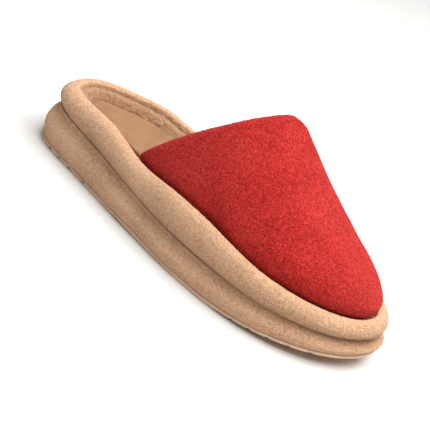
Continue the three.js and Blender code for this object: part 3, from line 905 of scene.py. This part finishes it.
class SLIPPER_OT_rim(bpy.types.Operator):
    """Makes the padded rim, the upper soft roll with its inner crease"""

    bl_idname = "slipper.rim"
    bl_label = "Rim"

    def execute(self, context):
        sizes, colours = context.scene.slipper_sizes, context.scene.slipper_colours
        grid, curl = rim_grid(millimetres(sizes))
        piece = skin("rim_roll", grid, wrap_rows=True, curl=curl)
        pile = looped_pile("brushed beige pile of the rim", colours.pile, sizes.loop, **BEIGE_LOOK)
        fit_piece(piece, "rim", pile)
        return {"FINISHED"}


class SLIPPER_OT_insole(bpy.types.Operator):
    """Makes the smooth footbed inside the rim"""

    bl_idname = "slipper.insole"
    bl_label = "Insole"

    def execute(self, context):
        piece = skin("footbed", footbed_grid(millimetres(context.scene.slipper_sizes)))
        fit_piece(piece, "insole", tan_microfibre(context.scene.slipper_colours.footbed))
        return {"FINISHED"}


class SLIPPER_OT_upper(bpy.types.Operator):
    """Makes the red vamp: one hollow wall with a rolled hem at the throat"""

    bl_idname = "slipper.upper"
    bl_label = "Vamp"

    def execute(self, context):
        sizes, colours = context.scene.slipper_sizes, context.scene.slipper_colours
        grid = vamp_grid(millimetres(sizes))
        piece = skin("vamp", grid, extra=foot_faces(*grid.shape[:2]))
        wool = looped_pile("looped red wool", colours.wool, sizes.loop, **WOOL_LOOK)
        fit_piece(piece, "upper", wool)
        return {"FINISHED"}


def lay_floor(scene):
    """A plain square floor at height 0."""
    half = FLOOR_HALF
    corners = [(-half, -half, 0), (half, -half, 0), (half, half, 0), (-half, half, 0)]
    mesh = bpy.data.meshes.new("floor")
    mesh.from_pydata(corners, [], [(0, 1, 2, 3)])
    mesh.materials.append(painted_board(scene.slipper_colours.floor))
    floor = bpy.data.objects.new("floor", mesh)
    scene.collection.objects.link(floor)


def light_stage(scene):
    """Faint even light from the room and the soft lights, each turned towards the origin."""
    world = bpy.data.worlds.new("soft room light")
    world.use_nodes = True
    background = world.node_tree.nodes["Background"]
    background.inputs["Color"].default_value = (1, 1, 1, 1)
    background.inputs["Strength"].default_value = ROOM_LIGHT
    scene.world = world
    for name, place, size, power in LIGHTS:
        light = bpy.data.lights.new(name, "AREA")
        light.size = size
        light.energy = power
        lamp = bpy.data.objects.new(name, light)
        lamp.location = place
        lamp.rotation_euler = (-Vector(place)).to_track_quat("-Z", "Y").to_euler()
        scene.collection.objects.link(lamp)


def place_camera(scene):
    """The camera: turned round the shoe, tilted down on it and rolled, at its distance from the aim."""
    turn, tilt, roll = np.radians([CAMERA_TURN, CAMERA_TILT, CAMERA_ROLL])
    right = np.array([math.cos(turn), math.sin(turn), 0])
    back = np.array([math.sin(turn) * math.cos(tilt), -math.cos(turn) * math.cos(tilt), math.sin(tilt)])
    up = np.cross(back, right)
    rolled_right = math.cos(roll) * right + math.sin(roll) * up
    rolled_up = math.cos(roll) * up - math.sin(roll) * right
    camera = bpy.data.cameras.new("camera")
    camera.lens = CAMERA_LENS
    camera.sensor_width = CAMERA_SENSOR
    camera.shift_x, camera.shift_y = CAMERA_SHIFT
    holder = bpy.data.objects.new("camera", camera)
    place = np.array(CAMERA_AIM) + back * CAMERA_DISTANCE
    axes = Matrix(np.stack([rolled_right, rolled_up, back], -1).tolist()).to_4x4()
    holder.matrix_world = Matrix.Translation(place.tolist()) @ axes
    scene.collection.objects.link(holder)
    scene.camera = holder


class SLIPPER_OT_stage(bpy.types.Operator):
    """Makes the pale floor, the soft light and the camera"""

    bl_idname = "slipper.stage"
    bl_label = "Stage"

    def execute(self, context):
        scene = context.scene
        lay_floor(scene)
        light_stage(scene)
        place_camera(scene)
        scene.view_settings.view_transform = "Standard"
        scene.view_settings.look = "None"
        return {"FINISHED"}


PIECES = (SLIPPER_OT_outsole, SLIPPER_OT_platform, SLIPPER_OT_rim, SLIPPER_OT_insole, SLIPPER_OT_upper,
          SLIPPER_OT_stage)


class SLIPPER_PT_panel(bpy.types.Panel):
    """Lists the pieces, sizes and colours of the slipper"""

    bl_label = "Padded mule slipper"
    bl_idname = "SLIPPER_PT_panel"
    bl_space_type = "VIEW_3D"
    bl_region_type = "UI"
    bl_category = "Slipper"

    def draw(self, context):
        layout = self.layout
        for group in (context.scene.slipper_sizes, context.scene.slipper_colours):
            box = layout.box()
            for key in group.__annotations__:
                box.prop(group, key)
        for piece in PIECES:
            layout.operator(piece.bl_idname)


CLASSES = (SlipperSizes, SlipperColours, *PIECES, SLIPPER_PT_panel)


def register():
    """Registers the classes and hangs the settings on the scene."""
    for cls in CLASSES:
        bpy.utils.register_class(cls)
    bpy.types.Scene.slipper_sizes = bpy.props.PointerProperty(type=SlipperSizes)
    bpy.types.Scene.slipper_colours = bpy.props.PointerProperty(type=SlipperColours)


def unregister():
    """Takes the settings off the scene and the classes out again."""
    del bpy.types.Scene.slipper_colours
    del bpy.types.Scene.slipper_sizes
    for cls in reversed(CLASSES):
        bpy.utils.unregister_class(cls)


def main():
    """Makes every piece and the stage."""
    register()
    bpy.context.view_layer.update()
    bpy.ops.slipper.outsole()
    bpy.ops.slipper.platform()
    bpy.ops.slipper.rim()
    bpy.ops.slipper.insole()
    bpy.ops.slipper.upper()
    bpy.ops.slipper.stage()


if __name__ == "__main__":
    main()
